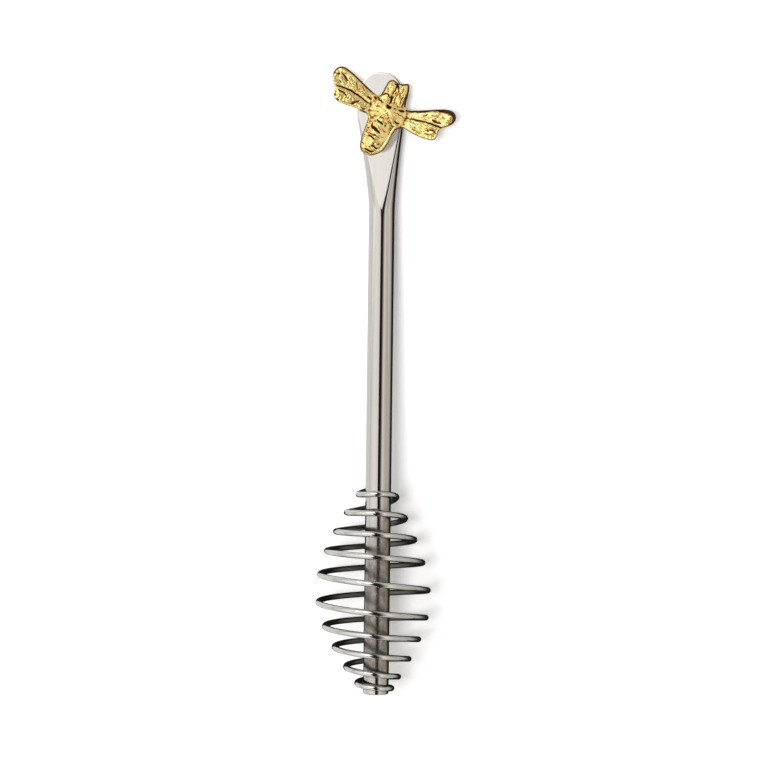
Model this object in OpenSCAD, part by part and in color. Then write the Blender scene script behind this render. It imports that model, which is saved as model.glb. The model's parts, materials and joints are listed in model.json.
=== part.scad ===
// Honey dipper: a forged steel handle, a coil of spring wire welded round its rod,
// and a small cast bee riveted to the paddle at the other end.
// It lies on a table, on the back of the paddle and the widest turns of the coil.
// Each piece is drawn along the rod first: the paddle's tip at zero, the rod running
// towards -Y on the Y axis, and the bee on the +Z side. resting() then lays it down.

/* [Handle] */
// Length from the tip of the paddle to the foot of the rod
dipper_l = 169.2; // [155:0.1:185]
// Diameter of the round rod
rod_d = 7; // [6.4:0.1:7.6]
// Chamfer round the foot of the rod
rod_chamfer = 0.4; // [0.2:0.1:0.6]
// Width of the forged paddle
paddle_w = 12.8; // [12:0.1:15]
// Thickness of the paddle at its tip
paddle_tip_t = 1.5; // [1.3:0.1:2.5]
// Length from the tip over which the paddle keeps its full width
paddle_l = 12.4; // [11:0.1:15]
// Length of the flare from the paddle to the round rod
flare_l = 24.8; // [20:0.1:32]
// How far the paddle's middle lies to the left of the rod's axis
paddle_offset = 0.58; // [0:0.01:1]
// Rounding of the paddle's edges
paddle_edge_r = 0.5; // [0.2:0.05:0.6]

/* [Dipper coil] */
// Diameter of the spring wire
wire_d = 1.6; // [1.3:0.1:2]
// Number of turns
coil_turns = 10; // [8:1:11]
// Outside diameter of the coil at its widest
coil_d = 31.8; // [26:0.1:36]
// Length of the coil between the centres of its end turns
coil_l = 54.5; // [50:0.5:62]
// Distance from the foot of the rod to the centre of the last turn
coil_setback = 1.4; // [1.3:0.1:3]
// How far the wide turns lie to the left of the rod
coil_shift = 1.32; // [0.6:0.01:1.6]
// How far the upper turns lean along the rod at their sides
coil_lean = 1; // [0:0.1:1.2]
// How far the turns nod down the rod at its back; this fades along the coil
coil_nod = 1.3; // [0:0.1:1.5]

/* [Welds] */
// Diameter of the weld bead on each end of the wire
weld_d = 2.7; // [2.4:0.1:3.2]

/* [Bee] */
// Distance from the tip of the paddle to the middle of the thorax
bee_place = 11.7; // [10:0.1:13]
// How far the thorax lies to the right of the rod's axis
bee_side = 1.38; // [0:0.01:2]
// Clockwise turn of the bee from the line of the rod
bee_turn = 23; // [0:1:35]
// Width of the thorax
thorax_w = 8.6; // [7.5:0.1:9.5]
// Height of the thorax above the paddle
thorax_h = 3.4; // [3:0.1:4.5]
// Length from the middle of the thorax to the tip of the abdomen
abdomen_l = 13; // [11.5:0.1:14]
// Width of the abdomen
abdomen_w = 8.2; // [7:0.1:9]
// Height of the abdomen above the paddle
abdomen_h = 3.1; // [2.8:0.1:4]
// Bands round the abdomen
abdomen_bands = 6; // [4:1:8]
// Turn of the abdomen from the line of the bee
abdomen_turn = 5; // [0:1:10]
// Length from the middle of the thorax to the top of the head
head_l = 9.6; // [8.5:0.1:10.5]
// Width of the head
head_w = 6.4; // [5.5:0.1:7.5]
// Height of the head above the paddle
head_h = 2.7; // [2.4:0.1:3.5]
// Width of the bee over its wing tips
wing_span = 34.6; // [28:0.1:40]
// Width of a wing from its front edge to its rear edge
wing_chord = 10.2; // [8:0.1:12]
// Thickness of a wing
wing_t = 1; // [0.8:0.1:1.4]
// Height of a wing's underside over the paddle at its root
wing_rise = 0.5; // [0.4:0.1:1]
// Angle at which the wings rise towards their tips
wing_angle = 4; // [0:0.5:8]
// How far the left wing lies further back than the right one, as an angle
left_wing_back = 3; // [0:0.5:10]

/* [Rivets] */
// Diameter of a rivet's shank
rivet_d = 1.5; // [1.2:0.1:1.8]
// Diameter of the countersunk head on the back of the paddle
rivet_head_d = 2.8; // [2.4:0.1:3.2]
// Depth of the sunk head, down to the shank
rivet_head_t = 0.8; // [0.5:0.1:1]
// Depth of a rivet in the bee
rivet_grip = 1.7; // [1.4:0.1:1.9]
// Distance between the two rivets
rivet_pitch = 8; // [7:0.1:8.5]

/* [Hidden] */

// How far a cut runs past the surface it opens
cut_over = 1;
// Gap between a rivet and its hole, all round
rivet_gap = 0.02;
// Gap between the wire and the rod where the wire is welded
weld_gap = 0.05;

// Handle, worked out from the sizes above
rod_r = rod_d / 2;
flare_end = paddle_l + flare_l;
tip_half_t = paddle_tip_t / 2;
// Step by which the flare's facets stay inside the round rod where they meet it
flare_step = 0.03;
flare_r = rod_r - flare_step;
face_angle = atan((flare_r - tip_half_t) / flare_end);
// Waist of the flare: over 1 the sides of the flare are hollow
flare_hollow = 1.35;
corner_steps = 7;
tip_steps = 9;
flare_steps = 12;

// Height of the flat front face over the rod's axis, at a distance from the tip
function half_t(at) = tip_half_t + (flare_r - tip_half_t) * at / flare_end;
// Depth of the back face under the axis: flat on the table until it meets the round rod
function back_t(at) = min(flare_r, tip_half_t + at * tan(rest_lean));
// How much of the paddle is left in the flare, from 1 at the paddle to 0 at the rod
function paddle_left(at) = at <= paddle_l ? 1 : pow(max(0, 1 - (at - paddle_l) / flare_l), flare_hollow);
// Half the handle's width, round at the tip
function half_w(at) =
    let (tip_r = paddle_w / 2)
    at < tip_r ? sqrt(tip_r * tip_r - (tip_r - at) * (tip_r - at))
    : flare_r + (tip_r - flare_r) * paddle_left(at);
// Radius of the handle's four edges, which grow into the round rod
function edge_r(at) =
    min(half_w(at), at <= paddle_l ? paddle_edge_r
        : paddle_edge_r + (flare_r - paddle_edge_r) * (at - paddle_l) / flare_l);

// One cross-section of the paddle or flare: four rounded corners, then back to the first
function section(at) =
    let (r = edge_r(at), across = half_w(at) - r, mid = -paddle_offset * paddle_left(at))
    [for (q = [0 : 3], i = [0 : corner_steps - 1])
        let (turn = 90 * (q + (i + 0.5) / corner_steps), up = (q < 2 ? half_t(at) : back_t(at)) - r)
        [mid + across * sign(cos(turn)) + r * cos(turn), -at, up * sign(sin(turn)) + r * sin(turn)]];

// Faces of a tube of rings that are listed one after another, closed at both ends
function tube_faces(rings, sides) = concat(
    [for (j = [1 : sides - 2]) [0, j, j + 1]],
    [for (i = [0 : rings - 2], j = [0 : sides - 1], half = [0, 1])
        let (a = i * sides + j, b = i * sides + (j + 1) % sides)
        half == 0 ? [a, a + sides, b] : [b, a + sides, b + sides]],
    let (last = (rings - 1) * sides)
    [for (j = [1 : sides - 2]) [last, last + j + 1, last + j]]);

// Coil, worked out from the sizes above
wire_r = wire_d / 2;
rings_per_turn = 24;
wire_sides = 6;
coil_start = dipper_l - coil_setback - coil_l;
coil_end_r = rod_r + weld_gap + wire_r;
coil_mid_r = coil_d / 2 - wire_r;
// Shape of the coil's outline: roundness at the middle and taper at the ends
coil_round = 1.54;
coil_taper = 1.24;
// Share of the lower half over which the last turn closes on the rod
foot_close_share = 0.1;
// The middle turns are drawn apart: by how much, where along the wire, and over how much of it
stretch_share = 0.44;
stretch_place_share = 0.475;
stretch_width_share = 0.109;
// How quickly the rise fades to nothing in the first and the last turn
top_fade = 27;
foot_fade = 5.7;
coil_steps = coil_turns * rings_per_turn;

// How far along the wire a step is, from 0 to 1
function along(step) = (step + 0.5) / coil_steps;
function coil_r(u) =
    let (v = u < 0.5 ? 1 - 2 * u : min(1, (2 * u - 1) * (1 + foot_close_share)))
    coil_end_r + (coil_mid_r - coil_end_r) * pow(1 - pow(v, coil_round), coil_taper);
function pitch_share(u) =
    let (off = (u - stretch_place_share) / stretch_width_share, fade = u < 0.5 ? top_fade : foot_fade)
    (1 + stretch_share * exp(-off * off)) * (1 - pow(abs(2 * u - 1), fade));
// Running total of the pitch over the steps, which spreads the turns over the coil's length
rise_totals = [for (i = 0, total = 0; i < coil_steps; total = total + pitch_share(along(i)), i = i + 1)
    total + pitch_share(along(i)) / 2];
rise_all = rise_totals[coil_steps - 1] + pitch_share(along(coil_steps - 1)) / 2;
function lean(u) = coil_lean * cos(240 * u) * pow(1 - u, 1.33);
function nod(u) = coil_nod * pow(1 - u, 1.1) * (1 - pow(1 - u, 10));
function coil_point(step) =
    let (u = along(step), turn = 360 * (step + 0.5) / rings_per_turn)
    [-coil_r(u) * sin(turn) - coil_shift * sin(180 * sqrt(u)),
     -coil_start - coil_l * rise_totals[step] / rise_all - lean(u) * sin(turn) - nod(u) * cos(turn),
     -coil_r(u) * cos(turn)];

// Centre line of the wire: straight along the back of the rod at each end, coiled between
wire_path = concat(
    [for (x = [wire_r, -wire_r]) [x, -coil_start, -coil_end_r]],
    [for (i = [1 : coil_steps - 2]) coil_point(i)],
    [for (x = [wire_r, -wire_r]) [x, -coil_start - coil_l, -coil_end_r]]);
wire_rings = len(wire_path);

// A ring of the wire, square to the path, with one corner pointing away from the rod
function wire_ring(i) =
    let (before = wire_path[max(0, i - 1)], after = wire_path[min(wire_rings - 1, i + 1)],
         here = wire_path[i], ahead = (after - before) / norm(after - before),
         out = [here.x, 0, here.z], square_out = out - ahead * (out * ahead),
         n = square_out / norm(square_out), b = cross(ahead, n))
    [for (j = [0 : wire_sides - 1])
        here + wire_r * (cos(360 * j / wire_sides) * n + sin(360 * j / wire_sides) * b)];
wire_points = [for (i = [0 : wire_rings - 1]) each wire_ring(i)];

// Least gap between two stretches of the wire that are half a turn or more apart
wire_gap = min([for (i = [0 : wire_rings - 1], j = [i + rings_per_turn / 2 : 1 : wire_rings - 1])
    norm(wire_path[i] - wire_path[j])]) - wire_d;
echo(least_gap_of_the_wire_to_itself_mm = wire_gap);

// Bee, worked out from the sizes above
wing_reach = wing_span / 2;
banding_share = 0.06;
abdomen_steps = 48;
head_lobe_share = 0.56;
// Points round one wing, as shares of its reach and its chord: front edge, tip, notch, rear edge
wing_outline_shares = [
    [0, 0.14], [0.2, 0.28], [0.42, 0.42], [0.7, 0.64], [0.92, 0.72], [1.04, 0.66], [1.04, 0.42],
    [0.93, 0.22], [0.81, 0.12], [0.88, 0.02], [0.87, -0.16], [0.78, -0.28], [0.54, -0.26],
    [0.3, -0.2], [0, -0.18]];
// Cuts every corner of a closed outline at a quarter and three quarters of each side
function softened(points, times) =
    times == 0 ? points
    : softened([for (i = [0 : len(points) - 1])
        let (a = points[i], b = points[(i + 1) % len(points)])
        each [a + (b - a) / 4, a + (b - a) * 3 / 4]], times - 1);
wing_outline = [for (p = softened(wing_outline_shares, 2)) [p.x * wing_reach, p.y * wing_chord]];
// Radius of a ball whose cap has a given width and height
function cap_r(w, h) = (w * w / 4 + h * h) / (2 * h);

// The dipper at rest: it lies on the back of the paddle and the lowest turn of the coil
rest_lean = max([for (p = wire_points) atan2(-p.z - tip_half_t, -p.y)]);
rest_lift = tip_half_t * cos(rest_lean);
coil_left = min([for (p = wire_points) p.x]);
left_turn = bee_turn - left_wing_back;
wing_right = bee_side + max([for (p = wing_outline) p.x * cos(bee_turn) + p.y * sin(bee_turn)]);
wing_left = bee_side + min([for (p = wing_outline) p.y * sin(left_turn) - p.x * cos(left_turn)]);
wing_top = max([for (p = wing_outline) p.x * sin(left_turn) + p.y * cos(left_turn)]) - bee_place;
rest_mid_x = (min(coil_left, wing_left) + wing_right) / 2;
rest_mid_y = (max(0, wing_top) - dipper_l * cos(rest_lean) - rod_r * sin(rest_lean)) / 2;
module resting() {
    translate([-rest_mid_x, -rest_mid_y, rest_lift])
        rotate([-rest_lean, 0, 0])
            children();
}

// Puts a piece on the front face of the paddle, in line with the bee
module on_paddle() {
    translate([bee_side, -bee_place, half_t(bee_place)])
        rotate([-face_angle, 0, -bee_turn])
            children();
}

// The two rivets, point up: each a shank and a sunk head in one turned piece, which runs on
// behind the paddle until a cut makes it flush
module rivet_pair(gap) {
    shank_r = rivet_d / 2 + gap;
    head_r = rivet_head_d / 2 + gap;
    for (i = [0, 1])
        translate([0, -i * rivet_pitch, 0]) {
            at = bee_place + i * rivet_pitch * cos(bee_turn);
            depth = half_t(at) + back_t(at);
            rotate_extrude($fn = 48)
                polygon([[0, -depth - cut_over], [head_r, -depth - cut_over], [head_r, -depth],
                    [shank_r, rivet_head_t - depth], [shank_r, rivet_grip + gap], [0, rivet_grip + gap]]);
        }
}

// Everything behind the back face of the paddle
module behind_paddle() {
    translate([0, 0, -tip_half_t])
        rotate([rest_lean, 0, 0])
            translate([-paddle_w, -2 * flare_end, -flare_end])
                cube([2 * paddle_w, 3 * flare_end, flare_end]);
}

// Round rod and forged paddle, made from one bar, with two holes for the rivets
module handle() {
    stations = concat(
        [for (i = [1 : tip_steps]) paddle_w / 2 * (1 - cos(90 * i / tip_steps))],
        [for (i = [0 : flare_steps]) paddle_l + flare_l * i / flare_steps]);
    sides = 4 * corner_steps;
    color("silver") resting() difference() {
        union() {
            polyhedron(points = [for (at = stations) each section(at)],
                faces = tube_faces(len(stations), sides));
            rod_l = dipper_l - flare_end;
            translate([0, -flare_end, 0])
                rotate([90, 0, 0])
                    rotate_extrude($fn = 96)
                        polygon([[0, 0], [rod_r, 0], [rod_r, rod_l - rod_chamfer],
                            [rod_r - rod_chamfer, rod_l], [0, rod_l]]);
        }
        on_paddle() rivet_pair(rivet_gap);
    }
}

// One length of spring wire, wound into a coil that is wide in the middle
module dipper_coil() {
    color("gainsboro") resting()
        polyhedron(points = wire_points, faces = tube_faces(wire_rings, wire_sides));
}

// A bead over the cut end of the wire, which joins it to the back of the rod
module weld(at, side) {
    color("darkgray") resting() difference() {
        translate([side * wire_r, -at, -coil_end_r])
            rotate([0, side * 90, 0])
                rotate_extrude($fn = 48)
                    intersection() {
                        circle(d = weld_d, $fn = 48);
                        square(weld_d);
                    }
        translate([0, cut_over, 0])
            rotate([90, 0, 0])
                cylinder(d = rod_d, h = dipper_l + 2 * cut_over, $fn = 96);
    }
}

module weld_upper() {
    weld(coil_start, 1);
}

module weld_lower() {
    weld(coil_start + coil_l, -1);
}

module wing() {
    translate([0, 0, wing_rise])
        rotate([0, -wing_angle, 0])
            linear_extrude(height = wing_t)
                polygon(wing_outline);
}

// A low dome on the paddle, of a given width and height
module dome(w, h) {
    r = cap_r(w, h);
    translate([0, 0, h - r])
        sphere(r = r, $fn = 64);
}

module abdomen() {
    r = cap_r(abdomen_w, abdomen_h);
    profile = [for (i = [0 : abdomen_steps])
        let (t = i / abdomen_steps, dip = 1 - banding_share * pow(abs(cos(180 * abdomen_bands * t)), 5))
        [r * sqrt(1 - pow(t, 3.5)) * dip, t * abdomen_l]];
    rotate([0, 0, -abdomen_turn])
        translate([0, 0, abdomen_h - r])
            rotate([90, 0, 0])
                rotate_extrude($fn = 64)
                    polygon(concat([[0, 0]], profile));
}

module head() {
    lobe = head_w * head_lobe_share;
    translate([0, head_l - head_w, 0])
        dome(head_w, head_h);
    for (side = [-1, 1])
        translate([side * (head_w - lobe) / 2, head_l - lobe / 2, 0])
            dome(lobe, head_h - rivet_gap);
}

// The bee, one flat-backed casting with blind holes for the rivets
module bee_casting() {
    color("gold") resting() on_paddle() difference() {
        union() {
            dome(thorax_w, thorax_h);
            abdomen();
            head();
            wing();
            rotate([0, 0, left_wing_back]) mirror([1, 0, 0]) wing();
        }
        translate([-wing_span, -wing_span, -wing_span])
            cube([2 * wing_span, 2 * wing_span, wing_span]);
        rivet_pair(rivet_gap);
    }
}

// Two countersunk rivets from the back of the paddle into the bee
module bee_rivets() {
    color("goldenrod") resting() difference() {
        on_paddle() rivet_pair(0);
        behind_paddle();
    }
}

handle();
dipper_coil();
weld_upper();
weld_lower();
bee_casting();
bee_rivets();
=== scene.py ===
import json
import math

import bpy
import numpy as np
from mathutils import Matrix, Vector


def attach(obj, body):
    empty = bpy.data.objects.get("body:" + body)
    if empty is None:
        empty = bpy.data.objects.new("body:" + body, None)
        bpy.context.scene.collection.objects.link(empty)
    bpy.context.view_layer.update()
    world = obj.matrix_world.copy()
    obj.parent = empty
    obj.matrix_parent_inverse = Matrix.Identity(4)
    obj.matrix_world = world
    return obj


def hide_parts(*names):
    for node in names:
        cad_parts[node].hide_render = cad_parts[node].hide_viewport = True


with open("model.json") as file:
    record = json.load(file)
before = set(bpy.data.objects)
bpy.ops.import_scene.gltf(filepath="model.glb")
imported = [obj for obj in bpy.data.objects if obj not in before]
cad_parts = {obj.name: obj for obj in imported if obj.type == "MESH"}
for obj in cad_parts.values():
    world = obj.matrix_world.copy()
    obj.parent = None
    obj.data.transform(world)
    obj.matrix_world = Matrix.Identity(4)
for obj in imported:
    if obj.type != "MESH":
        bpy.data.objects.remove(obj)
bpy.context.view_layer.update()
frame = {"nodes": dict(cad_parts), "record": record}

# The lie of the dipper on the table. The CAD's mount on the foot of the rod gives the rod's line:
# the handle is drawn along that line, with the paddle's tip at zero, the rod running towards -Y
# and the bee's side up, and laid_down then puts it on the table.
DIPPER_LENGTH = 0.1692
ROD_RADIUS = 0.0035
foot_mount = next(m for m in frame["record"]["mounts"] if m["name"] == "rod_foot")
towards_paddle = -Vector(foot_mount["axis"]).normalized()
to_the_right = Vector((1, 0, 0))
bee_side_up = to_the_right.cross(towards_paddle)
laid_down = (Matrix.Translation(Vector(foot_mount["pos_m"]) + DIPPER_LENGTH * towards_paddle)
             @ Matrix((to_the_right, towards_paddle, bee_side_up)).transposed().to_4x4())
REST_LEAN = math.atan2(-towards_paddle.z, towards_paddle.y)


class Flow:
    """An output of a node, written like a number: an expression on it adds its Math nodes."""

    def __init__(self, tree, socket=None):
        self.tree = tree
        self.socket = socket

    def node(self, kind, settings=None, sockets=None, out=0):
        """Adds a node of a type, sets its settings, then the values or links of its sockets."""
        made = self.tree.nodes.new(kind)
        for name, value in (settings or {}).items():
            if name == "stops":
                ramp = made.color_ramp.elements
                while len(ramp) < len(value):
                    ramp.new(1)
                for stop, (place, colour) in zip(ramp, value):
                    stop.position = place
                    stop.color = colour if len(colour) == 4 else (*colour, 1)
            else:
                setattr(made, name, value)
        for name, value in (sockets or {}).items():
            if isinstance(value, Flow):
                self.tree.links.new(value.socket, made.inputs[name])
            else:
                made.inputs[name].default_value = value
        return Flow(self.tree, made.outputs[out] if made.outputs else None)

    def output(self, name):
        """Another output of the same node."""
        return Flow(self.tree, self.socket.node.outputs[name])

    def maths(self, operation, *values, clamp=False):
        return self.node("ShaderNodeMath", {"operation": operation, "use_clamp": clamp},
                         dict(enumerate(values)))

    def __add__(self, other):
        return self.maths("ADD", self, other)

    def __radd__(self, other):
        return self.maths("ADD", other, self)

    def __sub__(self, other):
        return self.maths("SUBTRACT", self, other)

    def __rsub__(self, other):
        return self.maths("SUBTRACT", other, self)

    def __mul__(self, other):
        return self.maths("MULTIPLY", self, other)

    def __rmul__(self, other):
        return self.maths("MULTIPLY", other, self)

    def __truediv__(self, other):
        return self.maths("DIVIDE", self, other)

    def __rtruediv__(self, other):
        return self.maths("DIVIDE", other, self)

    def __pow__(self, other):
        return self.maths("POWER", self, other)

    def __rpow__(self, other):
        return self.maths("POWER", other, self)


def mesh_object(name, points, faces, place=laid_down):
    """A closed mesh object whose place is in its vertices."""
    mesh = bpy.data.meshes.new(name)
    mesh.from_pydata([tuple(p) for p in points], [], [tuple(f) for f in faces])
    mesh.transform(place)
    mesh.validate()
    made = bpy.data.objects.new(name, mesh)
    bpy.context.scene.collection.objects.link(made)
    return made


# The table and the light: a pale table, a large soft box above the left side, and a white
# tent round them. A dark gap in the tent over the table runs the length of the dipper.
IMAGE_SIDE = 768
ROD_WIDTH_SEEN = 25.7
PIXEL = 2 * ROD_RADIUS / ROD_WIDTH_SEEN
CAMERA_DISTANCE = 2300 * PIXEL
CAMERA_ROLL = math.atan(0.0126)
CAMERA_AIM = Vector((0.00119, -0.08484, 0))
SENSOR_MM = 36
camera_data = bpy.data.cameras.new("camera")
camera_data.sensor_width = SENSOR_MM
camera_data.lens = SENSOR_MM * CAMERA_DISTANCE / (IMAGE_SIDE * PIXEL)
camera = bpy.data.objects.new("camera", camera_data)
camera.matrix_world = (laid_down @ Matrix.Translation(CAMERA_AIM + Vector((0, 0, CAMERA_DISTANCE)))
                       @ Matrix.Rotation(CAMERA_ROLL, 4, "Z"))
bpy.context.scene.collection.objects.link(camera)
bpy.context.scene.camera = camera
bpy.context.scene.view_settings.view_transform = "Standard"


def shown_rays(start):
    """1 for what shows straight, in mirrors or through glass, and 1 for what shows straight."""
    path = start.node("ShaderNodeLightPath")
    straight, mirrored, through = (
        path.output(f"Is {kind} Ray") for kind in ("Camera", "Glossy", "Transmission"))
    return start.maths("MAXIMUM", start.maths("MAXIMUM", straight, mirrored), through), straight


world = bpy.data.worlds.new("tent")
bpy.context.scene.world = world
world.use_nodes = True
world.node_tree.nodes.clear()
tent = Flow(world.node_tree)
WHITE = (1, 1, 1, 1)
direction = tent.node("ShaderNodeSeparateXYZ", sockets={"Vector": tent.node("ShaderNodeTexCoord")})
height = direction.output("Z")
# Angles from overhead, in degrees: to the right and towards the paddle
rightward = tent.maths("ARCTAN2", direction, height) * math.degrees(1)
forward = tent.maths("ARCTAN2", direction.output("Y"), height) * math.degrees(1)


def by_angle(angle, stops):
    """The colour that a table of angles and colours gives."""
    return angle.node("ShaderNodeValToRGB", {"stops": [
        ((at + 180) / 360, colour) for at, colour in stops]}, {"Fac": angle / 360 + 0.5})


def mixed(share, start, end):
    """A colour between two others."""
    return share.node("ShaderNodeMix", {"data_type": "RGBA"}, {"Factor": share, 6: start, 7: end}, out=2)


TENT_ANGLES = [
    (-180, (0.68, 0.68, 0.66)), (-88, (0.75, 0.75, 0.71)), (-76, (0.81, 0.8, 0.75)),
    (-62, (0.95, 0.94, 0.89)), (-44, (1.05, 1, 0.95)), (-26, (0.99, 0.95, 0.9)),
    (-14, (0.93, 0.9, 0.86)), (-4, (0.85, 0.83, 0.8)), (16, (0.85, 0.83, 0.8)),
    (36, (0.92, 0.87, 0.8)), (46, (0.7, 0.65, 0.59)), (68, (0.62, 0.57, 0.5)),
    (88, (0.6, 0.56, 0.48)), (97, (0.3, 0.28, 0.24)), (180, (0.3, 0.28, 0.24))]
# The tent is darker low behind the paddle
TENT_SHADE = [(-180, 1), (13, 1), (16, 1.42), (24, 1.42), (45, 1), (70, 0.8), (90, 0.55), (180, 0.55)]
shade = by_angle(forward, [(angle, (share, share, share)) for angle, share in TENT_SHADE])
tent_light = tent.node("ShaderNodeMix", {"data_type": "RGBA", "blend_type": "MULTIPLY"}, {
    "Factor": 1.0, 6: by_angle(rightward, TENT_ANGLES), 7: shade}, out=2)
# A lamp behind the tent, over the paddle's left side
LAMP_LEFT, LAMP_RIGHT, LAMP_NEAR, LAMP_FAR, LAMP_LIGHT = -34, 0, 27, 40, 4
in_lamp = (tent.maths("GREATER_THAN", rightward, LAMP_LEFT) * tent.maths("LESS_THAN", rightward, LAMP_RIGHT)
           * tent.maths("GREATER_THAN", forward, LAMP_NEAR) * tent.maths("LESS_THAN", forward, LAMP_FAR))
tent_light = mixed(in_lamp, tent_light, (LAMP_LIGHT, LAMP_LIGHT, LAMP_LIGHT, 1))
# The gap, whose right side is soft, and which lies further right beyond the paddle
GAP_LEFT, GAP_RIGHT, GAP_SOFT = -7, 33, 19
GAP_FORWARD, GAP_MOVES, GAP_WIDENS = 15, 9, 4
GAP_COLOUR = (0.015, 0.012, 0.01, 1)
beyond = tent.maths("GREATER_THAN", forward, GAP_FORWARD)
in_gap = (tent.maths("GREATER_THAN", rightward, GAP_LEFT + beyond * GAP_MOVES)
          * tent.maths("MULTIPLY", GAP_RIGHT + beyond * GAP_WIDENS - rightward, 1 / GAP_SOFT, clamp=True)
          * tent.maths("GREATER_THAN", height, 0))
tent_light = mixed(in_gap, tent_light, GAP_COLOUR)
_, from_camera = shown_rays(tent)
background = tent.node("ShaderNodeBackground", sockets={
    "Color": mixed(from_camera, tent_light, WHITE), "Strength": 1})
tent.node("ShaderNodeOutputWorld", sockets={"Surface": background})

KEY_SIZE = 0.26
KEY_PLACE = Vector((-0.215, 0.02, 0.82))
KEY_POWER = 4.1
key_data = bpy.data.lights.new("soft_box", "AREA")
key_data.shape = "SQUARE"
key_data.size = KEY_SIZE
key_data.energy = KEY_POWER
key = bpy.data.objects.new("soft_box", key_data)
key.location = KEY_PLACE
key.rotation_mode = "QUATERNION"
key.rotation_quaternion = KEY_PLACE.to_track_quat("Z", "Y")
key.visible_glossy = False
bpy.context.scene.collection.objects.link(key)

TABLE_SIDE = 4
TABLE_TOP = -0.00015
corner = TABLE_SIDE / 2
table = mesh_object("table", [(-corner, -corner, TABLE_TOP), (corner, -corner, TABLE_TOP),
                              (corner, corner, TABLE_TOP), (-corner, corner, TABLE_TOP)],
                    [(0, 1, 2, 3)], Matrix.Identity(4))
table_paint = bpy.data.materials.new("pale_table")
table_paint.use_nodes = True
table_paint.node_tree.nodes.clear()
paint = Flow(table_paint.node_tree)
TABLE_COLOUR = (0.84, 0.85, 0.865, 1)
GLOW_SHOWN, GLOW_STRAIGHT = 0.02, 0.16
matt = paint.node("ShaderNodeBsdfDiffuse", sockets={"Color": TABLE_COLOUR})
shown, from_camera = shown_rays(paint)
glow = paint.node("ShaderNodeEmission", sockets={
    "Color": WHITE, "Strength": shown * GLOW_SHOWN + from_camera * GLOW_STRAIGHT})
lit = paint.node("ShaderNodeAddShader", sockets={0: matt, 1: glow})
# Painted shade on the table under the dipper and to its right, which only the metal mirrors, gives it dark
# edges:
# places across the table with the share of painted shade there, and the ends of that painted shade
MIRRORED_SHADE = [(-0.0085, 0.25), (-0.005, 1), (0.018, 1), (0.028, 0.85), (0.045, 0.6), (0.08, 0.45)]
MIRRORED_SHADE_SPAN, MIRRORED_SHADE_TAPER, MIRRORED_SHADE_TOP, MIRRORED_SHADE_HEM = 0.2, 5, 0.078, 0.008
COIL_SHADE_TOP, COIL_SHADE_FOOT, COIL_SHADE_HALF = -0.0345, -0.09, 0.024
MIRRORED_SHADE_COLOUR = (0.02, 0.018, 0.015, 1)
right_on_table = paint.node("ShaderNodeSeparateXYZ", sockets={
    "Vector": paint.node("ShaderNodeTexCoord").output("Object")})
along_dipper = right_on_table.output("Y")
mirrored_shade_share = paint.node("ShaderNodeValToRGB", {"stops": [
    (place / MIRRORED_SHADE_SPAN + 0.5, (share, share, share)) for place, share in MIRRORED_SHADE]},
    {"Fac": right_on_table * (1 + MIRRORED_SHADE_TAPER * along_dipper) / MIRRORED_SHADE_SPAN + 0.5})
mirrored_shade_share = mirrored_shade_share * paint.maths("MULTIPLY", MIRRORED_SHADE_TOP - along_dipper, 1 / MIRRORED_SHADE_HEM, clamp=True)
# The painted shade also lies under the whole coil
under_coil = (paint.maths("LESS_THAN", along_dipper, COIL_SHADE_TOP)
              * paint.maths("GREATER_THAN", along_dipper, COIL_SHADE_FOOT)
              * paint.maths("LESS_THAN", paint.maths("ABSOLUTE", right_on_table), COIL_SHADE_HALF))
mirrored_shade_share = paint.maths("MAXIMUM", mirrored_shade_share, under_coil)
mirrored = paint.node("ShaderNodeLightPath").output("Is Glossy Ray")
mirrored_shade = paint.node("ShaderNodeEmission", sockets={"Color": MIRRORED_SHADE_COLOUR, "Strength": 1})
both = paint.node("ShaderNodeMixShader", sockets={0: mirrored_shade_share * mirrored, 1: lit, 2: mirrored_shade})
paint.node("ShaderNodeOutputMaterial", sockets={"Surface": both})
table.data.materials.append(table_paint)


# The handle, one bar of stainless steel: a round rod, forged and ground to a flat paddle at
# its end. Both faces of the paddle are flat, and each runs out in a point on the round rod.
PADDLE_RADIUS = 0.0064
PADDLE_TIP_HALF = 0.00075
PADDLE_END = 0.0124
FLARE_END = 0.0372
PADDLE_OFFSET = 0.00058
FLARE_STEP = 0.00003
FLARE_HOLLOW = 1.35
FLARE_RUN_ON = 0.008
TIP_ROUND = 0.00045
TIP_GAP = 0.000002
SIDE_THINS, SIDE_SQUARES = 0.55, 0.6
FOOT_CHAMFER = 0.0004
CRISP = 58
CORNERS = 256
flare_radius = ROD_RADIUS - FLARE_STEP


def face_height(at):
    """Height of the front face over the rod's axis, at a distance from the tip."""
    return PADDLE_TIP_HALF + (flare_radius - PADDLE_TIP_HALF) * at / FLARE_END


def paddle_left(at):
    """How much of the paddle is left, from 1 at the paddle to 0 at the rod."""
    return 1 if at <= PADDLE_END else max(0, 1 - (at - PADDLE_END) / (FLARE_END - PADDLE_END)) ** FLARE_HOLLOW


def half_width(at):
    """Half the bar's width: the paddle's round end, then the flare, then the rod."""
    if at < PADDLE_RADIUS:
        return math.sqrt(PADDLE_RADIUS ** 2 - (PADDLE_RADIUS - at) ** 2)
    return ROD_RADIUS + (PADDLE_RADIUS - ROD_RADIUS) * paddle_left(at)


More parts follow.
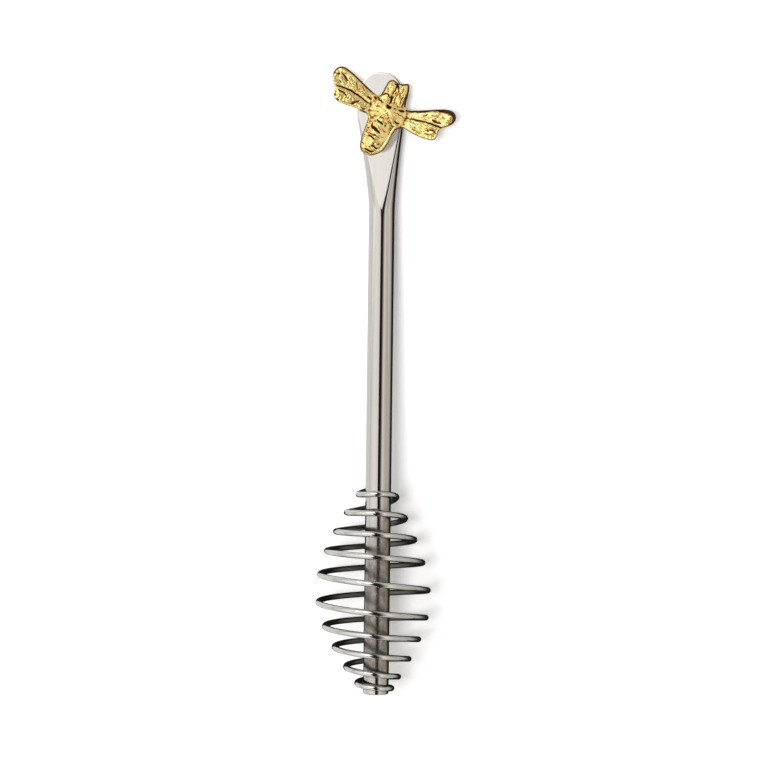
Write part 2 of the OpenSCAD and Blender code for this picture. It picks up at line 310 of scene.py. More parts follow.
def bar_section(at):
    """A ring round the bar: its rounded outside, cut by the two flat faces."""
    wide = half_width(at)
    left = paddle_left(at)
    nose = math.sqrt(1 - (1 - min(1, (at + 10 * TIP_GAP) / TIP_ROUND)) ** 2)
    tall = ROD_RADIUS * (1 - SIDE_THINS * max(0, 1 - at / PADDLE_END))
    power = 2 + SIDE_SQUARES * left
    top = face_height(at) * nose
    bottom = (PADDLE_TIP_HALF + math.tan(REST_LEAN) * at) * nose
    turn = 2 * np.pi * (np.arange(CORNERS) + 0.5) / CORNERS
    thick = (min(top, ROD_RADIUS) + min(bottom, ROD_RADIUS)) / 2
    ray = np.arctan2(thick * np.sin(turn), wide * np.cos(turn))
    c, s = np.cos(ray), np.sin(ray)
    outside = (np.abs(c / wide) ** power + np.abs(s / tall) ** power) ** (1 / power)
    cut = np.where(s > 0, s / top, -s / bottom)
    nearer = np.maximum(outside, cut)
    reach = ((outside / nearer) ** CRISP + (cut / nearer) ** CRISP) ** (-1 / CRISP) / nearer
    return np.stack([reach * c - PADDLE_OFFSET * left, np.full(CORNERS, -at), reach * s], 1)


def tube_faces(count):
    """Faces between rings that are listed one after another, and over both ends."""
    walls = [(r * CORNERS + c, (r + 1) * CORNERS + c, (r + 1) * CORNERS + (c + 1) % CORNERS,
              r * CORNERS + (c + 1) % CORNERS) for r in range(count - 1) for c in range(CORNERS)]
    last = (count - 1) * CORNERS
    return walls + [tuple(range(CORNERS)), tuple(last + c for c in reversed(range(CORNERS)))]


# Rings round the paddle's end, along the flare, down the rod and round the chamfer of its foot
stations = [PADDLE_RADIUS * (1 - math.cos(math.pi / 2 * i / 36)) + TIP_GAP for i in range(37)]
stations += list(np.linspace(PADDLE_RADIUS, FLARE_END + FLARE_RUN_ON, 80)[1:])
stations += list(np.linspace(FLARE_END + FLARE_RUN_ON, DIPPER_LENGTH - FOOT_CHAMFER, 24)[1:])
rings = [bar_section(at) for at in stations]
for share in (0.3, 0.6, 0.85, 1):
    ring = bar_section(DIPPER_LENGTH)
    ring[:, 1] = -DIPPER_LENGTH + FOOT_CHAMFER * (1 - math.sin(share * math.pi / 2))
    ring[:, [0, 2]] *= 1 - FOOT_CHAMFER / ROD_RADIUS * (1 - math.cos(share * math.pi / 2))
    rings.append(ring)
handle = mesh_object("handle_bar", np.concatenate(rings), tube_faces(len(rings)))
handle.data.shade_smooth()
handle.data.set_sharp_from_angle(angle=math.radians(50))


def metal(name, colour, roughness):
    """A metal with its shader, and the places on it in the frame of the rod."""
    made = bpy.data.materials.new(name)
    made.use_nodes = True
    shader = made.node_tree.nodes["Principled BSDF"]
    shader.inputs["Metallic"].default_value = 1
    shader.inputs["Base Color"].default_value = (*colour, 1)
    shader.inputs["Roughness"].default_value = roughness
    start = Flow(made.node_tree)
    to_rod = laid_down.inverted()
    in_rod = start.node("ShaderNodeMapping", {}, {
        "Vector": start.node("ShaderNodeTexCoord").output("Object"),
        "Location": to_rod.translation, "Rotation": to_rod.to_euler()})
    return made, shader, in_rod


def joined(flow, shader, socket):
    flow.tree.links.new(flow.socket, shader.inputs[socket])


def bumped(height, shader, strength, depth):
    """Relief without geometry: a height of 1 stands for the depth, and the strength scales it."""
    joined(height.node("ShaderNodeBump", {}, {
        "Height": height, "Strength": strength, "Distance": depth}), shader, "Normal")


def part_of(place, axis):
    """One coordinate of a vector."""
    return place.node("ShaderNodeSeparateXYZ", sockets={"Vector": place}).output(axis)


def noise(place, size, detail=2, stretch=(1, 1, 1), rough=0.5):
    """Soft noise from 0 to 1 with grains of a size, stretched along the axes."""
    scaled = place.node("ShaderNodeVectorMath", {"operation": "DIVIDE"}, {0: place, 1: stretch})
    return place.node("ShaderNodeTexNoise", {}, {
        "Vector": scaled, "Scale": 1 / size, "Detail": detail, "Roughness": rough})


def step_up(value, low, high):
    """0 below low, 1 above high, and smooth between."""
    return value.node("ShaderNodeMapRange", {"interpolation_type": "SMOOTHSTEP"}, {0: value, 1: low, 2: high})


# Bright polish with faint draw lines along the bar. Between the turns of the coil the rod is painted grey and
# mottled as shade from the turns, and beside the tail of the bee a painted shadow falls on it; both places
# are rougher too.
STEEL = (0.74, 0.72, 0.69)
BRIGHT_STEEL = (0.64, 0.625, 0.6, 1), (0.7, 0.685, 0.665, 1)
TURN_SHADE_STEEL = (0.23, 0.21, 0.19, 1), (0.43, 0.4, 0.37, 1)
TAIL_SHADOW_COLOUR, TAIL_SHADOW_SHARE = (0.28, 0.21, 0.16, 1), 0.55
DRAW_LINE, DRAW_DEPTH, DRAW_STRETCH = 0.0004, 0.0000012, (1, 70, 1)
MOTTLE, MOTTLE_STRETCH = 0.0016, (1, 1.6, 1)
TURN_SHADE_START, TURN_SHADE_FULL, TURN_SHADE_FADE, TURN_SHADE_END, TURN_SHADE_LEAN = 0.114, 0.134, 0.160, 0.168, 2.8
TAIL_START, TAIL_END = (0.0026, -0.0135), (-0.0004, -0.0182)
TAIL_WIDE, TAIL_SHADE, TAIL_FRONT = 0.003, 0.0012, 0.0006
steel, steel_shader, on_steel = metal("polished_steel", STEEL, 0.07)
draw_lines = noise(on_steel, DRAW_LINE, 4, DRAW_STRETCH)
wide_lines = noise(on_steel, 4 * DRAW_LINE, 1, DRAW_STRETCH)
down_rod = 0 - part_of(on_steel, "Y")
# Painted shade on the rod between the turns of the coil, reaching further on the rod's right side
painted_turn_shade = (step_up(down_rod + TURN_SHADE_LEAN * part_of(on_steel, "X"), TURN_SHADE_START, TURN_SHADE_FULL)
        * (1 - step_up(down_rod, TURN_SHADE_FADE, TURN_SHADE_END)))
mottle = noise(on_steel, MOTTLE, 3, MOTTLE_STRETCH, 0.7)
# The painted shadow of the tail lies within a distance of the tail's middle line, on the front only
across_tail = part_of(on_steel, "X") - TAIL_START[0]
along_tail = part_of(on_steel, "Y") - TAIL_START[1]
tail_x, tail_y = TAIL_END[0] - TAIL_START[0], TAIL_END[1] - TAIL_START[1]
reached = (across_tail * tail_x + along_tail * tail_y) / (tail_x ** 2 + tail_y ** 2)
reached = reached.maths("MAXIMUM", reached.maths("MINIMUM", reached, 1), 0)
from_tail = ((across_tail - reached * tail_x) ** 2 + (along_tail - reached * tail_y) ** 2) ** 0.5
painted_tail_shadow = 1 - step_up(from_tail, TAIL_WIDE, TAIL_WIDE + TAIL_SHADE)
painted_tail_shadow = painted_tail_shadow * step_up(part_of(on_steel, "Z"), 0, TAIL_FRONT)
bright_steel = mixed(wide_lines, *BRIGHT_STEEL)
turn_shade_steel = mixed(step_up(mottle, 0.3, 0.7), *TURN_SHADE_STEEL)
steel_colour = mixed(painted_turn_shade, bright_steel, turn_shade_steel)
joined(mixed(painted_tail_shadow * TAIL_SHADOW_SHARE, steel_colour, TAIL_SHADOW_COLOUR), steel_shader, "Base Color")
joined(0.05 + 0.05 * draw_lines + 0.12 * painted_turn_shade + 0.1 * painted_turn_shade * mottle + 0.2 * painted_tail_shadow,
       steel_shader, "Roughness")
bumped(draw_lines + 1.5 * wide_lines + 3 * painted_turn_shade * mottle, steel_shader, 0.5, DRAW_DEPTH)
handle.data.materials.append(steel)
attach(handle, "root")
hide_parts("handle")


# The coil, one length of bright spring wire, wound wide in the middle and closed on the rod
# at both ends. Its turns follow one rule along the wire, so geometry nodes draw it.
WIRE_RADIUS = 0.0008
COIL_TURNS = 10
COIL_LENGTH = 0.0545
COIL_WIDTH = 0.0318
COIL_SETBACK = 0.0014
COIL_SIZES = {
    "Turns": COIL_TURNS,
    "Start": DIPPER_LENGTH - COIL_SETBACK - COIL_LENGTH,
    "Length": COIL_LENGTH,
    "End Radius": ROD_RADIUS + 0.00005 + WIRE_RADIUS,
    "Middle Radius": COIL_WIDTH / 2 - WIRE_RADIUS,
    "Side Shift": 0.00132,
    "Lean": 0.001,
    "Nod": 0.0013,
    "Wire Radius": WIRE_RADIUS,
    "Stretch": 0.44,
    "Stretch Place": 0.475,
    "Stretch Width": 0.109,
}
RINGS_A_TURN, SIDES_OF_WIRE = 72, 20
# How fast the turns swell and close, and how the pitch, the lean and the nod fade along the wire
COIL_ROUND, COIL_TAPER, FOOT_CLOSES = 1.54, 1.24, 1.1
TOP_FADE, FOOT_FADE = 27, 5.7
LEAN_TURN, LEAN_FADE = 240, 1.33
NOD_FADE, NOD_START = 1.1, 10


def coil_tree():
    """Winds the wire: radius, rise, side shift, lean and nod all follow the share of its length."""
    tree = bpy.data.node_groups.new("wound_wire", "GeometryNodeTree")
    for name, size in COIL_SIZES.items():
        tree.interface.new_socket(name, in_out="INPUT", socket_type="NodeSocketFloat")
    tree.interface.new_socket("Material", in_out="INPUT", socket_type="NodeSocketMaterial")
    tree.interface.new_socket("Geometry", in_out="OUTPUT", socket_type="NodeSocketGeometry")
    entry = tree.nodes.new("NodeGroupInput")
    size = {s.name: Flow(tree, s) for s in entry.outputs if s.name}
    start = Flow(tree)
    steps = size["Turns"] * RINGS_A_TURN
    line = start.node("GeometryNodeMeshLine", sockets={"Count": steps + 2, "Offset": (0, 0, 0)})
    index = start.node("GeometryNodeInputIndex")
    u = start.maths("MINIMUM", start.maths("MAXIMUM", (index - 0.5) / steps, 0), 1)
    first = start.maths("LESS_THAN", index, 0.5)
    last = start.maths("GREATER_THAN", index, steps + 0.5)
    upper = start.maths("LESS_THAN", u, 0.5)

    def pick(yes, no):
        return upper * yes + (1 - upper) * no

    from_middle = start.maths("ABSOLUTE", 2 * u - 1)
    closing = start.maths("MINIMUM", pick(from_middle, from_middle * FOOT_CLOSES), 1)
    swell = (1 - closing ** COIL_ROUND) ** COIL_TAPER
    radius = size["End Radius"] + (size["Middle Radius"] - size["End Radius"]) * swell
    off = (u - size["Stretch Place"]) / size["Stretch Width"]
    pitch = 1 + size["Stretch"] * math.e ** (0 - off * off)
    pitch = pitch * (1 - from_middle ** pick(TOP_FADE, FOOT_FADE))
    before = start.node("GeometryNodeAccumulateField", {"data_type": "FLOAT", "domain": "POINT"},
                        {"Value": pitch}, out="Trailing")
    risen = (before + pitch / 2) / before.output("Total")
    turn = 2 * math.pi * size["Turns"] * u
    sine = start.maths("SINE", turn)
    cosine = start.maths("COSINE", turn)
    lean = size["Lean"] * start.maths("COSINE", u * math.radians(LEAN_TURN)) * (1 - u) ** LEAN_FADE
    shift = size["Side Shift"] * start.maths("SINE", math.pi * start.maths("SQRT", u))
    x = size["Wire Radius"] * (first - last) - radius * sine - shift
    nod = size["Nod"] * (1 - u) ** NOD_FADE * (1 - (1 - u) ** NOD_START)
    y = 0 - size["Start"] - size["Length"] * risen - lean * sine - nod * cosine
    z = 0 - radius * cosine
    place = start.node("ShaderNodeCombineXYZ", sockets={"X": x, "Y": y, "Z": z})
    path = start.node("GeometryNodeSetPosition", sockets={"Geometry": line, "Position": place})
    for name, value in (("turn_radius", radius), ("turn_shift", shift)):
        path = start.node("GeometryNodeStoreNamedAttribute", {"data_type": "FLOAT", "domain": "POINT"}, {
            "Geometry": path, "Name": name, "Value": value})
    curve = start.node("GeometryNodeMeshToCurve", sockets={"Mesh": path})
    ring = start.node("GeometryNodeCurvePrimitiveCircle", sockets={
        "Resolution": SIDES_OF_WIRE, "Radius": size["Wire Radius"]})
    wire = start.node("GeometryNodeCurveToMesh", sockets={
        "Curve": curve, "Profile Curve": ring, "Fill Caps": True})
    kept = [start.node("GeometryNodeInputNamedAttribute", {"data_type": "FLOAT"}, {"Name": name})
            for name in ("turn_radius", "turn_shift")]
    spot = start.node("ShaderNodeSeparateXYZ", sockets={"Vector": start.node("GeometryNodeInputPosition")})
    from_axis = ((spot + kept[1]) ** 2 + spot.output("Z") ** 2) ** 0.5
    outward = (from_axis - kept[0]) / size["Wire Radius"]
    wire = start.node("GeometryNodeStoreNamedAttribute", {"data_type": "FLOAT", "domain": "POINT"}, {
        "Geometry": wire, "Name": "outward", "Value": outward})
    whole = start.node("GeometryNodeRealizeInstances", sockets={"Geometry": wire})
    finished = start.node("GeometryNodeSetMaterial", sockets={
        "Geometry": whole, "Material": size["Material"]})
    leaving = tree.nodes.new("NodeGroupOutput")
    tree.links.new(finished.socket, leaving.inputs["Geometry"])
    return tree


def grown(name, tree, values, place=laid_down):
    """The plain mesh object that a geometry node tree makes with these values for its inputs."""
    seed = bpy.data.objects.new(name + "_seed", bpy.data.meshes.new(name + "_seed"))
    bpy.context.scene.collection.objects.link(seed)
    modifier = seed.modifiers.new("nodes", "NODES")
    modifier.node_group = tree
    for item in tree.interface.items_tree:
        if item.in_out == "INPUT" and item.name in values:
            modifier[item.identifier] = values[item.name]
    mesh = bpy.data.meshes.new_from_object(seed.evaluated_get(bpy.context.evaluated_depsgraph_get()))
    bpy.data.objects.remove(seed)
    mesh.name = name
    mesh.transform(place)
    made = bpy.data.objects.new(name, mesh)
    bpy.context.scene.collection.objects.link(made)
    return made


# The outside of the turns is polished bright, with less roughness; the inside of each turn, facing the rod,
# is painted dark as shade, and its flanks half so
WIRE_SHADE, WIRE_BRIGHT = (0.16, 0.155, 0.145, 1), (0.69, 0.685, 0.67, 1)
SKIN_MARK, SKIN_DEPTH, SKIN_STRETCH = 0.0007, 0.000004, (3, 0.4, 3)
wire_steel, wire_shader, on_wire = metal("drawn_wire", (0.7, 0.69, 0.66), 0.08)
outward = on_wire.node("ShaderNodeAttribute", {"attribute_name": "outward"}).output("Fac")
skin_marks = noise(on_wire, SKIN_MARK, 3, SKIN_STRETCH, 0.6)
polished_lit_side = step_up(outward + 0.3 * (skin_marks - 0.5), -0.25, 0.5)
joined(mixed(polished_lit_side, WIRE_SHADE, WIRE_BRIGHT), wire_shader, "Base Color")
joined(0.28 - 0.2 * polished_lit_side + 0.06 * skin_marks, wire_shader, "Roughness")
bumped(skin_marks, wire_shader, 0.5, SKIN_DEPTH)
coil = grown("coil_of_wire", coil_tree(), {
    **{name: float(size) for name, size in COIL_SIZES.items()}, "Material": wire_steel})
coil.data.shade_smooth()
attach(coil, "root")
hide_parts("dipper_coil")


# The bee, one brass casting with a gold finish: a flat back, two wings that stand off the paddle,
# and relief that is cut with fur, feathered veins and the rings of its tail. It lies turned on
# the paddle, and its cuts keep a dark tarnish.
BEE_PLACE = Vector((0.00138, -0.0117, face_height(0.0117)))
BEE_TURN = math.radians(23)
WING_LIFT = 0.0005
WING_SLOPE = math.tan(math.radians(4))
on_paddle = (laid_down @ Matrix.Translation(BEE_PLACE)
             @ Matrix.Rotation(-math.atan((flare_radius - PADDLE_TIP_HALF) / FLARE_END), 4, "X")
             @ Matrix.Rotation(-BEE_TURN, 4, "Z"))
# The outline, in mm from the middle of the thorax: head, right wing, tail, left wing
BEE_OUTLINE = [
    (-0.8, 8.8), (0.1, 8.95), (0.9, 9.25), (1.55, 9.7), (2.1, 9.6), (2.5, 8.8), (2.85, 7.3), (3.1, 5.7),
    (3.3, 4.3), (3.55, 3.4), (4.2, 3.15), (5.6, 3.45), (7.4, 4.2), (9.6, 5.3), (12, 6.5), (13.7, 7.25),
    (15.2, 7.65), (16.5, 7.35), (17.35, 6.45), (17.5, 5.4), (17.1, 4.3), (16.4, 3.4), (15.6, 2.75),
    (15, 2.3), (14.55, 1.7), (14.4, 0.9), (14.55, -0.2), (14.6, -1.3), (13.8, -1.95), (12, -2.3),
    (9.5, -2.35), (7.2, -2.15), (5.6, -1.75), (4.5, -1.75), (3.75, -2.3), (3.35, -3.2), (3.15, -4.5),
    (3.1, -6), (3, -7.6), (2.7, -9.1), (2.15, -10.3), (1.2, -11.3), (0, -12.15), (-1.5, -12.45),
    (-2.8, -12), (-3.6, -11), (-4, -9.6), (-4.2, -8), (-4.3, -6), (-4.4, -4.2), (-4.65, -2.8),
    (-5.2, -2), (-6.2, -1.8), (-8, -1.95), (-10, -2.15), (-12, -2.4), (-13.9, -2.45), (-15.2, -1.8),
    (-15.9, -0.6), (-15.95, 0.5), (-16.3, 1.2), (-17.1, 1.9), (-17.8, 2.9), (-18.1, 4.2), (-17.95, 5.4),
    (-17.4, 6.3), (-16.4, 6.95), (-15, 6.85), (-12.4, 6.15), (-9.4, 5), (-7, 4.1), (-5.4, 3.6),
    (-4.5, 3.6), (-3.95, 4.1), (-3.75, 5.2), (-3.7, 6.6), (-3.6, 7.9), (-3.2, 8.85), (-2.5, 9.2),
    (-1.6, 9)]


def chisel(points, spots):
    """Distance of each spot from a run of straight cuts, and how far along the run it lies."""
    nearest = np.full(spots.shape[:-1], 1e9)
    reached = np.zeros(spots.shape[:-1])
    legs = [math.dist(start, end) for start, end in zip(points, points[1:])]
    gone = 0
    for leg, start, end in zip(legs, points, points[1:]):
        start, end = np.array(start, float), np.array(end, float)
        along = np.clip((spots - start) @ (end - start) / leg ** 2, 0, 1)
        distance = np.linalg.norm(spots - start - along[..., None] * (end - start), axis=-1)
        reached = np.where(distance < nearest, (gone + along * leg) / sum(legs), reached)
        nearest = np.minimum(nearest, distance)
        gone += leg
    return nearest, reached


def rounded(points, times=2):
    """The same closed outline with its corners cut off, more finely each time."""
    points = np.array(points, float)
    for _ in range(times):
        after = np.roll(points, -1, axis=0)
        points = np.stack([0.75 * points + 0.25 * after, 0.25 * points + 0.75 * after], 1).reshape(-1, 2)
    return points


def inside(points, spots):
    """Whether each spot lies in a closed outline."""
    crossings = np.zeros(spots.shape[:-1], bool)
    for (x0, y0), (x1, y1) in zip(points, np.roll(points, -1, axis=0)):
        level = (y0 > spots[..., 1]) != (y1 > spots[..., 1])
        reach = x0 + (spots[..., 1] - y0) * (x1 - x0) / ((y1 - y0) or 1e-12)
        crossings ^= level & (spots[..., 0] < reach)
    return crossings


def soft_max(a, b, blend):
    return (a + b + np.sqrt((a - b) ** 2 + blend ** 2)) / 2


def soft_step(value, low, high):
    t = np.clip((value - low) / (high - low), 0, 1)
    return t * t * (3 - 2 * t)


def dome(x, y, centre, radii, height, turn=0, power=0.5):
    """A rounded hump on an oval foot."""
    c, s = math.cos(math.radians(turn)), math.sin(math.radians(turn))
    u = ((x - centre[0]) * c + (y - centre[1]) * s) / radii[0]
    v = ((y - centre[1]) * c - (x - centre[0]) * s) / radii[1]
    return height * np.maximum(0, 1 - u * u - v * v) ** power


# The relief is a height for each spot of a grid over the outline, all in mm
GRAIN = 0.1
GRID_LEFT, GRID_RIGHT, GRID_REAR, GRID_FRONT = -18.6, 18.3, -12.9, 10
spots = np.stack(np.meshgrid(np.arange(GRID_LEFT, GRID_RIGHT, GRAIN),
                             np.arange(GRID_REAR, GRID_FRONT, GRAIN), indexing="ij"), -1)
x, y = spots[..., 0], spots[..., 1]
outline = rounded(BEE_OUTLINE)
edge = chisel([*outline, outline[0]], spots)[0] * np.where(inside(outline, spots), 1, -1)
hand = np.random.default_rng(11)


def wavering(u, v, ring=None):
    """Smooth heights, random at whole steps of u and v, where u may close on itself in a ring."""
    wide = ring or int(u.max() - u.min()) + 3
    levels = hand.uniform(-1, 1, (wide, int(v.max() - v.min()) + 3))
    u, v = u - (0 if ring else u.min()), v - v.min()
    iu, iv = np.floor(u).astype(int), v.astype(int)
    fu, fv = soft_step(u - iu, 0, 1), soft_step(v - iv, 0, 1)
    return ((levels[iu % wide, iv] * (1 - fu) + levels[(iu + 1) % wide, iv] * fu) * (1 - fv)
            + (levels[iu % wide, iv + 1] * (1 - fu) + levels[(iu + 1) % wide, iv + 1] * fu) * fv)


# Wings: each a fore and a hind lobe, pillowed between a rolled edge and the line that parts
# them, with folds that fan from the root, feather strokes near the tips and more wear at the left
WING_FREE, WING_STARTS, WING_ROOT = (4.2, 6), (4, 8), (1.5, 0.8)
PLATE, PILLOW, PILLOW_WIDE = 0.72, 0.3, 0.85
ROLL, ROLL_IN, ROLL_WIDE = 0.1, 0.3, 0.2
FORE_RISE, FOLD, STROKE, WEAR_LEFT, WEAR_RIGHT = 0.1, 0.11, 0.07, 1.3, 0.7
SPLIT_DEPTH, SPLIT_WIDE = 0.3, 0.16
EDGE_HEIGHT, EDGE_ROUND = 0.3, 0.3
away = np.abs(x)
left = x < 0
under = soft_step(away, *WING_FREE) * (1000 * WING_LIFT + away * WING_SLOPE)
RIGHT_SPLIT = [(4, 0.7), (7, 1.35), (10.5, 1.95), (15.4, 2.2)]
LEFT_SPLIT = [(-4, 0.2), (-7, 0.75), (-9.5, 1.4), (-12, 1.75), (-16.6, 1.4)]
split_line = np.where(left, chisel(LEFT_SPLIT, spots)[0], chisel(RIGHT_SPLIT, spots)[0])
split_height = np.where(
    left, np.interp(x, *zip(*LEFT_SPLIT[::-1])), np.interp(x, *zip(*RIGHT_SPLIT)))
fore = y > split_height
from_border = np.clip(np.minimum(edge, split_line), 0, 9)
root_turn = np.arctan2(y - WING_ROOT[1], away - WING_ROOT[0])
on_wing = soft_step(away, *WING_STARTS)
wear = np.where(left, WEAR_LEFT, WEAR_RIGHT)
plate = (PLATE + PILLOW * (1 - np.exp(-(from_border / PILLOW_WIDE) ** 2))
         + ROLL * np.exp(-((edge - ROLL_IN) / ROLL_WIDE) ** 2))
into_fore = np.where(fore, split_line, 0)
plate += FORE_RISE * soft_step(into_fore, 0.2, 0.8) * (1 - soft_step(into_fore, 1, 2.6))
folds = wavering(root_turn * 13, away * 0.16) + 0.6 * wavering(root_turn * 31, away * 0.3)
plate += FOLD * wear * folds * on_wing
strokes = wavering((away - np.where(fore, 1, -1) * 1.1 * y) * 1.7, (y + 0.5 * away) * 0.8)
plate += STROKE * wear * strokes * soft_step(away, 6, 12) * soft_step(edge, 0.4, 0.9)
plate -= SPLIT_DEPTH * np.exp(-(split_line / SPLIT_WIDE) ** 2) * soft_step(away, 4.5, 9)
rounded_edge = EDGE_HEIGHT + (1 - EDGE_HEIGHT) * np.sqrt(np.clip(edge / EDGE_ROUND, 0, 1))
height_field = under + np.minimum(plate, rounded_edge)

# Thorax: a low dome with tufts of fur that run out from a bright spot in its middle
THORAX, THORAX_RADII, THORAX_HEIGHT = (-0.2, 0.3), (7, 4.1), 2.9
FUR_ROOT, FUR_REACH, TUFT = (0.1, 0.3), (5.4, 3.4), 0.17
fur_turn = np.arctan2(y - FUR_ROOT[1], x - FUR_ROOT[0])
fur_out = np.hypot((x - FUR_ROOT[0]) / FUR_REACH[0], (y - FUR_ROOT[1]) / FUR_REACH[1])
tufts = (wavering(fur_turn / math.tau * 20, fur_out * 2.2, ring=20)
         + 0.6 * wavering(fur_turn / math.tau * 38, fur_out * 4.5, ring=38)
         + 0.7 * wavering(x / 0.7, y / 0.7))
body = dome(x, y, THORAX, THORAX_RADII, THORAX_HEIGHT, power=1)
body = body + TUFT * tufts * soft_step(fur_out, 0.1, 0.6)

# Head: two lobes with a notch between them, combed lengthwise, and an eye at the left below
HEAD_LOBES = [((-2.1, 6.1), (2, 4.3), 2.2, -4), ((1.2, 6.1), (2.6, 4.6), 2.35, 4)]
COMBED = 0.17
EYE, EYE_RADII, EYE_HEIGHT, EYE_FOLD = (-2.4, 3.4), (1.9, 1.6), 2.05, 0.12
comb = (wavering((x + 0.06 * (x + 0.4) * (4 - y)) * 2.2, y * 0.7) + 0.6 * wavering(x * 3.6, y * 1.3)
        + np.where(x > 0.4, 0.7, 0.2) * wavering(x / 0.5, y / 0.5))
lobes = soft_max(*(dome(x, y, *lobe, power=0.6) for lobe in HEAD_LOBES), 0.25)
body = soft_max(body, lobes + COMBED * comb * soft_step(lobes, 0.3, 1), 0.3)
from_eye = np.hypot(x - EYE[0], y - EYE[1])
eye = dome(x, y, EYE, EYE_RADII, EYE_HEIGHT, power=0.6) + EYE_FOLD * np.cos(from_eye * 6 + 2 * x)
body = soft_max(body, eye, 0.35)

# Tail: a long dome in rings, each ring's rear edge standing over the next, on a plain ledge
TAIL, TAIL_RADII, TAIL_HEIGHT = (-0.75, -3.6), (3.5, 8.7), 2.5
RING_FIRST, RING_PITCH, RING_STEP = -1.3, 1.75, 0.42
RING_BENDS, RING_LEANS, RING_WAVERS = 0.03, 0.12, 0.35
LEDGE, LEDGE_ROLL = 0.75, 0.2
tail_dome = dome(x, y, TAIL, TAIL_RADII, TAIL_HEIGHT, power=0.8) * soft_step(-y, -1, 2)
ring_line = (y - RING_FIRST + RING_BENDS * (x - TAIL[0]) ** 2 - RING_LEANS * x
             + RING_WAVERS * wavering(x * 0.7, y * 0.4))
ring_place = ring_line / -RING_PITCH
ring_share = ring_place - np.floor(ring_place)
ring_step = RING_STEP * (ring_share ** 1.4 - soft_step(ring_share, 0.86, 1) - 0.3)
ring_step *= soft_step(tail_dome, 0.3, 1.2) * (0.65 + 0.35 * wavering(x * 0.8, y * 0.5))
tail = np.where(y < 0, tail_dome + ring_step + 0.1 * wavering(x * 0.9 + 0.3 * y, y * 1.5)
                + 0.06 * wavering(x * 2.6, y * 2.2), 0)
body = soft_max(body, tail, 0.2)
ledge = LEDGE + LEDGE_ROLL * np.exp(-((edge - 0.35) / 0.25) ** 2)
ledge = ledge * np.sqrt(np.clip(edge / 0.25, 0, 1))
body = np.where(away < 6, soft_max(body, ledge, 0.1), body)
height_field = soft_max(height_field, body - 3 * soft_step(away, 5, 8), 0.35)

